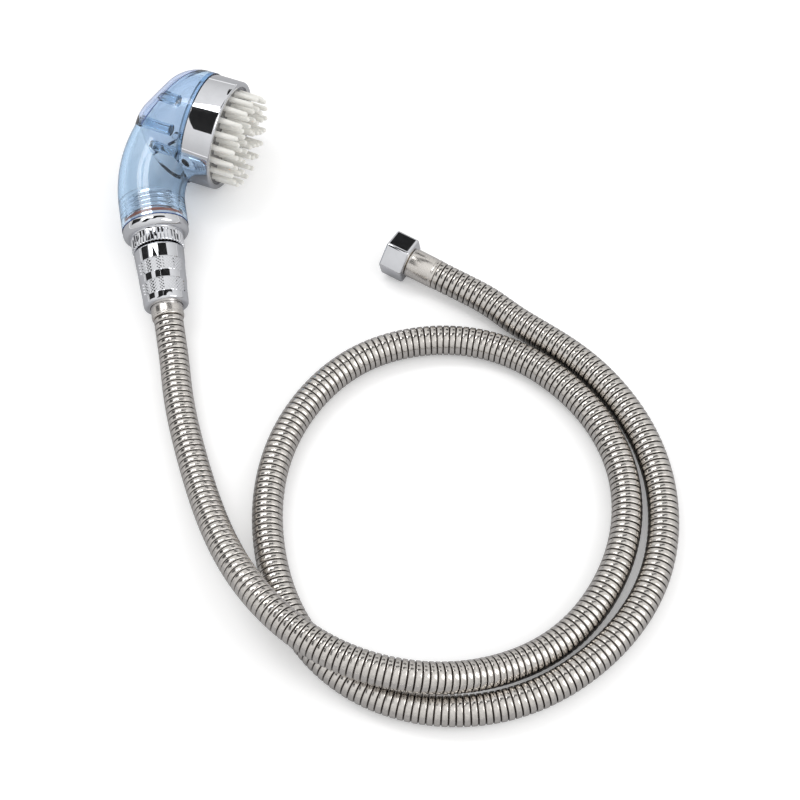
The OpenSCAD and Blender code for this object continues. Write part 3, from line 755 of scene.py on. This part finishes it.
class SPRAYER_OT_ferrules(Operator):
    """Make the two ferrules that hold the hose"""
    bl_idname = "sprayer.ferrules"
    bl_label = "Ferrules"

    def execute(self, context):
        steel = plated("brushed steel", tuple(context.scene.sprayer_finish.steel), 0.2, 0.3)
        upper = [(7.1, 29.8), (8.9, 29.8), (9.3, 30.2), (9.3, 56.6)]
        upper += arc(9.2, 57.1, 0.25, -60, 60, 3)
        upper += [(9.2, 57.5), (9.3, 57.8), (9.3, 58.5), (9.15, 58.85), (8.8, 59), (7.7, 59)]
        upper += [(7.7, 31.3), (7.1, 31.3), (7.1, 29.8)]
        top = placed(turned("upper_ferrule_looks", upper), HANDLE)
        finished(top, "handset", ["upper_ferrule"], [steel])
        lower = [(7.1, 17.3), (8.3, 17.3), (8.6, 17.1), (8.7, 16.7), (8.62, 3.2), (8.5, 3.0)]
        lower += [(8.42, 2.6), (8.42, 2.2), (8.6, 1.9), (8.66, 1.5), (8.66, 0.6), (8.5, 0.15)]
        lower += [(8.2, 0), (7.7, 0), (7.7, 15.8), (7.1, 15.8), (7.1, 17.3)]
        end = placed(turned("lower_ferrule_looks", lower), TAP)
        finished(end, "handset", ["lower_ferrule"], [steel])
        return {"FINISHED"}


class SPRAYER_OT_tap_nut(Operator):
    """Make the hexagon nut with its chamfers and thread"""
    bl_idname = "sprayer.tap_nut"
    bl_label = "Tap nut"

    def execute(self, context):
        low, high = 17.6, 32.1
        flats = context.scene.sprayer_hose.nut_flats / MM
        corner = flats / math.sqrt(3)
        nut = rod("hex_nut_looks", corner, low, high, 6)
        placed(nut, Matrix.Rotation(math.radians(14), 4, "Z"))
        soften(nut, 1.3, 5, 28)
        bore = [(0, low - 1), (7.1, low - 1), (7.1, 20), (10.8, 20), (10.8, 25)]
        z, pitch = 25.0, 1.81
        while z + pitch < high:
            bore += [(10.5, z + 0.1), (9.7, z + 0.85), (9.7, z + 1.0), (10.5, z + 1.75)]
            z += pitch
        bore += [(10.5, z + 0.1), (10.5, high + 1), (0, high + 1)]
        combine(nut, turned("thread", bore, 72), "DIFFERENCE")
        placed(nut, TAP)
        chrome = mirror_chrome(context.scene.sprayer_finish)
        finished(nut, "tap_nut", ["hex_nut"], [chrome], 25)
        return {"FINISHED"}


# ---- Hose ----

def hose_line():
    """The hose's centreline from the upper ferrule's mouth to the lower one's, as points."""
    lead = [HANDLE @ Vector((0, 0, (76 + 13 * i) * MM)) for i in (-1, 0, 1)]
    tail = [TAP @ Vector((0, 0, (-17 + 20 * i) * MM)) for i in (-1, 0, 1)]
    control = lead + [Vector(p) * MM for p in ROUTE] + tail
    line = [HANDLE @ Vector((0, 0, 59 * MM))]
    steps = 20
    for i in range(len(control) - 3):
        for k in range(steps + (i == len(control) - 4)):
            u = k / steps
            weights = (
                (1 - u) ** 3,
                3 * u ** 3 - 6 * u ** 2 + 4,
                -3 * u ** 3 + 3 * u ** 2 + 3 * u + 1,
                u ** 3,
            )
            spot = Vector()
            for w, p in zip(weights, control[i:i + 4]):
                spot += p * (w / 6)
            line.append(spot)
    line.append(TAP @ Vector((0, 0, 0)))
    return line


class SPRAYER_OT_hose(Operator):
    """Lay the ribbed steel hose"""
    bl_idname = "sprayer.hose"
    bl_label = "Hose"

    def execute(self, context):
        sizes = context.scene.sprayer_hose
        line = hose_line()
        whole = sum((b - a).length for a, b in zip(line, line[1:]))
        pitch = whole / sizes.ribs
        crest, root = sizes.radius, sizes.radius - sizes.groove
        # One rib, drawn along Z: the groove's floor, the rolled shoulder, the band and its far edge
        share = [(0, root), (0.11, root), (0.14, crest - 0.3 * MM), (0.19, crest - 0.07 * MM)]
        share += [(0.26, crest), (0.80, crest - 0.02 * MM), (0.89, crest - 0.12 * MM)]
        share += [(0.94, crest - 0.4 * MM), (1, root)]
        rib = start_point("hose_casing_looks", (share[0][1], 0, 0))
        for (a, r0), (b, r1) in zip(share, share[1:]):
            step = Vector((r1 - r0, 0, (b - a) * pitch))
            bpy.ops.mesh.extrude_region_move(TRANSFORM_OT_translate={"value": step})
        bpy.ops.mesh.select_all(action="SELECT")
        bpy.ops.mesh.spin(steps=22, angle=TURN, center=(0, 0, 0), axis=(0, 0, 1))
        tidy()
        placed(rib, ALONG_FACE)
        # How deep each vertex lies in a groove; the hose material paints shade in the grooves by it
        mark = rib.data.attributes.new("groove", "FLOAT", "POINT")
        for v, d in zip(rib.data.vertices, mark.data):
            depth = (crest - math.hypot(v.co.y, v.co.z)) / sizes.groove
            d.value = min(max(depth, 0), 1)
        pick(rib)
        rows = rib.modifiers.new("Ribs", "ARRAY")
        rows.count = sizes.ribs
        rows.use_relative_offset, rows.use_constant_offset = False, True
        rows.constant_offset_displace = (pitch, 0, 0)
        rows.use_merge_vertices, rows.merge_threshold = True, 1e-5
        bpy.ops.object.modifier_apply(modifier=rows.name)

        # The plain ends that the ferrules grip
        slope, grip = 0.1 * MM, 9 * MM
        by = (root - 0.12 * MM) / root
        for side, far in ((-1, 1e-4), (1, whole - 1e-4)):
            choose(rib, lambda v: (v.x - far) * side > 0)
            bpy.ops.mesh.extrude_region_move(TRANSFORM_OT_translate={"value": (side * slope, 0, 0)})
            middle = (0 if side < 0 else whole, 0, 0)
            bpy.ops.transform.resize(value=(1, by, by), center_override=middle)
            bpy.ops.mesh.extrude_region_move(TRANSFORM_OT_translate={"value": (side * grip, 0, 0)})
            bpy.ops.mesh.edge_face_add()
            to_object()

        curve = bpy.data.curves.new("hose route", "CURVE")
        curve.dimensions = "3D"
        # The route starts 10 mm inside each ferrule, so the hose is shifted by as much
        spare = 10
        first, last = Vector((0, 0, (59 - spare) * MM)), Vector((0, 0, spare * MM))
        ends = [HANDLE @ first] + line + [TAP @ last]
        spline = curve.splines.new("POLY")
        spline.points.add(len(ends) - 1)
        for point, place in zip(spline.points, ends):
            point.co = (*place, 1)
        route = bpy.data.objects.new("hose route", curve)
        context.scene.collection.objects.link(route)
        placed(rib, Matrix.Translation((spare * MM, 0, 0)))
        laid = rib.modifiers.new("Route", "CURVE")
        laid.object, laid.deform_axis = route, "POS_X"
        pick(rib)
        bpy.ops.object.modifier_apply(modifier=laid.name)
        bpy.data.objects.remove(route, do_unlink=True)
        to_edit(rib)
        tidy(1e-7)
        steel = ribbed_steel(context.scene.sprayer_finish)
        finished(rib, "handset", ["hose_casing"], [steel], 60)
        return {"FINISHED"}


class SPRAYER_OT_inner_parts(Operator):
    """Finish the parts inside the head, the collar and the hose"""
    bl_idname = "sprayer.inner_parts"
    bl_label = "Inner parts"

    def execute(self, context):
        black = rubbery("black rubber", (0.03, 0.03, 0.03), 0.7, 0.6)
        white = rubbery("white plastic", (0.82, 0.84, 0.86), 0.96, 0.4)
        brass = plated("turned brass", (0.78, 0.60, 0.30), 0.15, 0.3)
        looks = {
            # The face plate is chrome; its colour is darkened as painted shade among the bristles and
            # for the dark of its water holes
            "face_plate": plated("mirror plate darkened for shade", (0.30, 0.30, 0.32), 0.02, 0.07),
            "face_gasket": black,
            "water_spreader": white,
            "collar_oring": rubbery("orange rubber", (0.62, 0.2, 0.12), 0.85, 0.45),
            "inlet_washer": black,
            "upper_slip_ring": white,
            "upper_tail": brass,
            "inner_tube": black,
            "lower_tail": brass,
            "lower_slip_ring": white,
            "end_washer": black,
        }
        for node, mat in looks.items():
            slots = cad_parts[node].data.materials
            slots.clear()
            slots.append(mat)
        return {"FINISHED"}


# ---- Studio ----

def aim(obj, place, target, turn=0):
    """Puts an object down facing a target, turned by an angle in degrees about its own axis."""
    obj.location = place
    obj.rotation_mode = "QUATERNION"
    facing = (Vector(target) - Vector(place)).to_track_quat("-Z", "Y")
    obj.rotation_quaternion = facing @ Quaternion((0, 0, 1), math.radians(turn))


def soft_light(name, place, target, width, height, power, turn=0):
    unpick()
    bpy.ops.object.light_add(type="AREA")
    light = bpy.context.view_layer.objects.active
    light.name = name
    light.data.shape = "RECTANGLE"
    light.data.size, light.data.size_y, light.data.energy = width, height, power
    aim(light, place, target, turn)


def paper(name, scale, dark, light, **values):
    """A dull material that varies a little between two colours."""
    mat, shader = finish(name, **values)
    if shader:
        wire(mat, shader, "Base Color", blended(mat, grain(mat, scale), dark, light))
    return mat


def card(name, place, target, width, height, mat, turn=0):
    """A flat card of the studio that shows only in the plated parts."""
    unpick()
    bpy.ops.mesh.primitive_plane_add(size=1)
    obj = named(name)
    obj.scale = (width, height, 1)
    aim(obj, place, target, turn)
    obj.data.materials.append(mat)
    obj.visible_camera = obj.visible_diffuse = obj.visible_shadow = False
    obj.visible_transmission = False


class SPRAYER_OT_studio(Operator):
    """Set up the floor, the soft light and the camera"""
    bl_idname = "sprayer.studio"
    bl_label = "Studio"

    def execute(self, context):
        scene, studio = context.scene, context.scene.sprayer_studio
        scene.view_settings.view_transform = "Standard"
        unpick()
        bpy.ops.object.camera_add()
        camera = context.view_layer.objects.active
        camera.name = "camera"
        camera.data.sensor_width, camera.data.lens = 36, studio.lens
        camera.data.clip_start, camera.data.clip_end = 0.01, 50
        aim(camera, (0.36009, -0.5926, 0.93513), (0.17296, -0.08617, 0))
        scene.camera = camera
        unpick()
        bpy.ops.mesh.primitive_plane_add(size=30, location=(0.17, -0.09, -0.0002))
        floor = named("floor")
        white = paper(
            "floor paper", 3, (0.93, 0.93, 0.93), (0.95, 0.95, 0.95),
            Roughness=0.7, Emission_Color=(1, 1, 1, 1), Emission_Strength=0.2,
        )
        floor.data.materials.append(white)
        middle = (0.17, -0.09, 0)
        soft_light("key", (-0.72, 0.11, 1.32), (-0.72, 0.11, 0), 1.0, 0.32, studio.key, 20)
        soft_light("right", (1.3, -0.1, 1.0), middle, 0.6, 0.9, studio.key * 0.8)
        dark, light = (0.004, 0.004, 0.005), (0.008, 0.008, 0.008)
        black = paper("black card", 2, dark, light, Roughness=0.9)
        # Each card shows dark in one place: the ring and the collar, the two sides of the
        # cone nut, and the upper face of the tap nut
        card("card above left", (-0.475, -0.5, 1.3), (-0.475, -0.5, 0), 0.55, 1.24, black)
        card("card above", (0.23, 0.6, 1.3), (0.23, 0.6, 0), 0.98, 0.42, black, 40)
        card("card in the middle", (-0.03, 0.07, 1.3), (-0.03, 0.07, 0), 0.3, 0.36, black)
        card("card on the left", (-1.3, -0.12, 0.72), (0, -0.12, 0.72), 0.6, 0.95, black)
        card("card behind", (-0.05, 1.35, 0.78), (0.1, 0, 0.1), 0.62, 0.5, black)
        # The metal and the plastic's edges mirror a grey table, where the floor itself is white
        grey = paper("grey card", 2, (0.44, 0.44, 0.45), (0.48, 0.48, 0.49), Roughness=0.9)
        card("card on the table", (0.16, -0.1, -0.0001), (0.16, -0.1, -1), 1.8, 1.8, grey)
        world = bpy.data.worlds.new("surround")
        world.use_nodes = True
        tree = world.node_tree
        way = tree.nodes.new("ShaderNodeTexCoord")
        split = tree.nodes.new("ShaderNodeSeparateXYZ")
        rise = tree.nodes.new("ShaderNodeMapRange")
        rise.inputs["To Min"].default_value = studio.world * 0.72
        rise.inputs["To Max"].default_value = studio.world * 1.15
        tree.links.new(way.outputs["Generated"], split.inputs["Vector"])
        tree.links.new(split.outputs["Z"], rise.inputs["Value"])
        tree.links.new(rise.outputs["Result"], tree.nodes["Background"].inputs["Strength"])
        tree.nodes["Background"].inputs["Color"].default_value = (1, 1, 1, 1)
        scene.world = world
        return {"FINISHED"}


class SPRAYER_PT_panel(Panel):
    """Lists the sprayer's sizes, colours and pieces"""
    bl_idname = "SPRAYER_PT_panel"
    bl_label = "Bath Sprayer"
    bl_space_type = "VIEW_3D"
    bl_region_type = "UI"
    bl_category = "Sprayer"

    def draw(self, context):
        for group in GROUPS:
            box = self.layout.box()
            data = getattr(context.scene, group)
            for key in data.bl_rna.properties.keys():
                if key not in ("rna_type", "name"):
                    box.prop(data, key)
        for operator in OPERATORS:
            self.layout.operator(operator.bl_idname)


GROUPS = {
    "sprayer_head": SPRAYER_PG_head,
    "sprayer_brush": SPRAYER_PG_brush,
    "sprayer_hose": SPRAYER_PG_hose,
    "sprayer_finish": SPRAYER_PG_finish,
    "sprayer_studio": SPRAYER_PG_studio,
}
OPERATORS = (
    SPRAYER_OT_studio,
    SPRAYER_OT_ferrules,
    SPRAYER_OT_cone_nut,
    SPRAYER_OT_tap_nut,
    SPRAYER_OT_hose,
    SPRAYER_OT_ring,
    SPRAYER_OT_bristles,
    SPRAYER_OT_collar,
    SPRAYER_OT_inner_parts,
    SPRAYER_OT_cover,
    SPRAYER_OT_body,
)


def register():
    for cls in (*GROUPS.values(), *OPERATORS, SPRAYER_PT_panel):
        bpy.utils.register_class(cls)
    for name, cls in GROUPS.items():
        setattr(bpy.types.Scene, name, PointerProperty(type=cls))


def unregister():
    for name in GROUPS:
        delattr(bpy.types.Scene, name)
    for cls in reversed((*GROUPS.values(), *OPERATORS, SPRAYER_PT_panel)):
        bpy.utils.unregister_class(cls)


def main():
    register()
    bpy.ops.sprayer.studio()
    bpy.ops.sprayer.ferrules()
    bpy.ops.sprayer.cone_nut()
    bpy.ops.sprayer.tap_nut()
    bpy.ops.sprayer.hose()
    bpy.ops.sprayer.ring()
    bpy.ops.sprayer.bristles()
    bpy.ops.sprayer.collar()
    bpy.ops.sprayer.inner_parts()
    bpy.ops.sprayer.cover()
    bpy.ops.sprayer.body()


if __name__ == "__main__":
    main()
